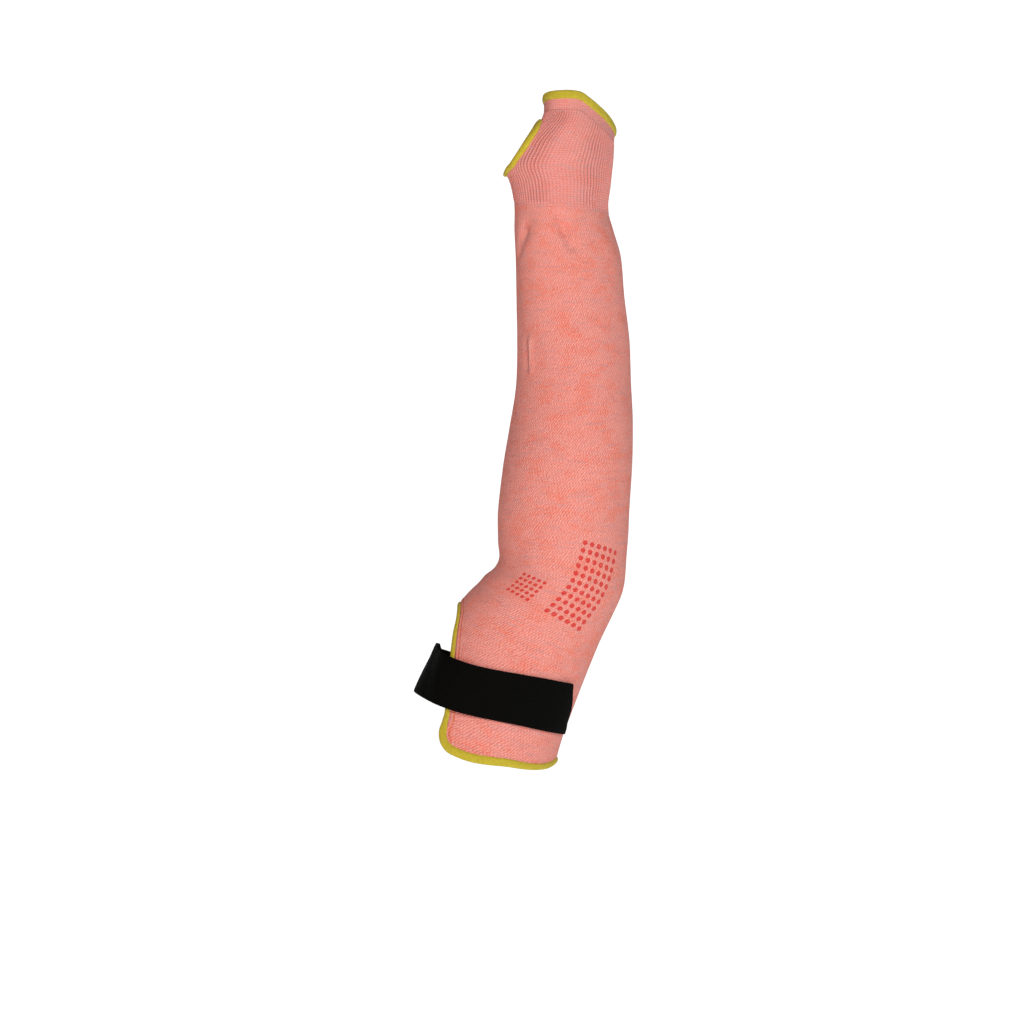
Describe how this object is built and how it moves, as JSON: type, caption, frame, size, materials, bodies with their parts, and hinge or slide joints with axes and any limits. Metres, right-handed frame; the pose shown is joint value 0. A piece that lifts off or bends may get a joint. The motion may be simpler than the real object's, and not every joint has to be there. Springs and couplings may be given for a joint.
{
  "type": "cut resistant sleeve",
  "caption": "Knitted cut resistant sleeve in coral marl with a ribbed thumb-hole cuff, yellow bound edges, an open slit at the upper arm and a black closure strap.",
  "frame": {"origin": "middle of the upper arm inside the sleeve, level with the middle of the closure strap", "axes": "+Z points along the raised forearm to the hand, -Y to the front where the strap closes, -X to the thumb and the crook of the elbow"},
  "size_m": [0.165, 0.1042, 0.5016],
  "materials": {
    "plain_knit": "matte marled jersey knit",
    "rib_knit": "matte ribbed knit",
    "yellow_binding": "overlocked thread",
    "black_strap": "matte woven elastic"
  },
  "bodies": {
    "root": {"sleeve_body": "plain_knit", "rib_cuff": "rib_knit", "hem_binding": "yellow_binding", "hand_binding": "yellow_binding", "thumb_binding": "yellow_binding", "closure_strap": "black_strap"}
  },
  "joints": []
}
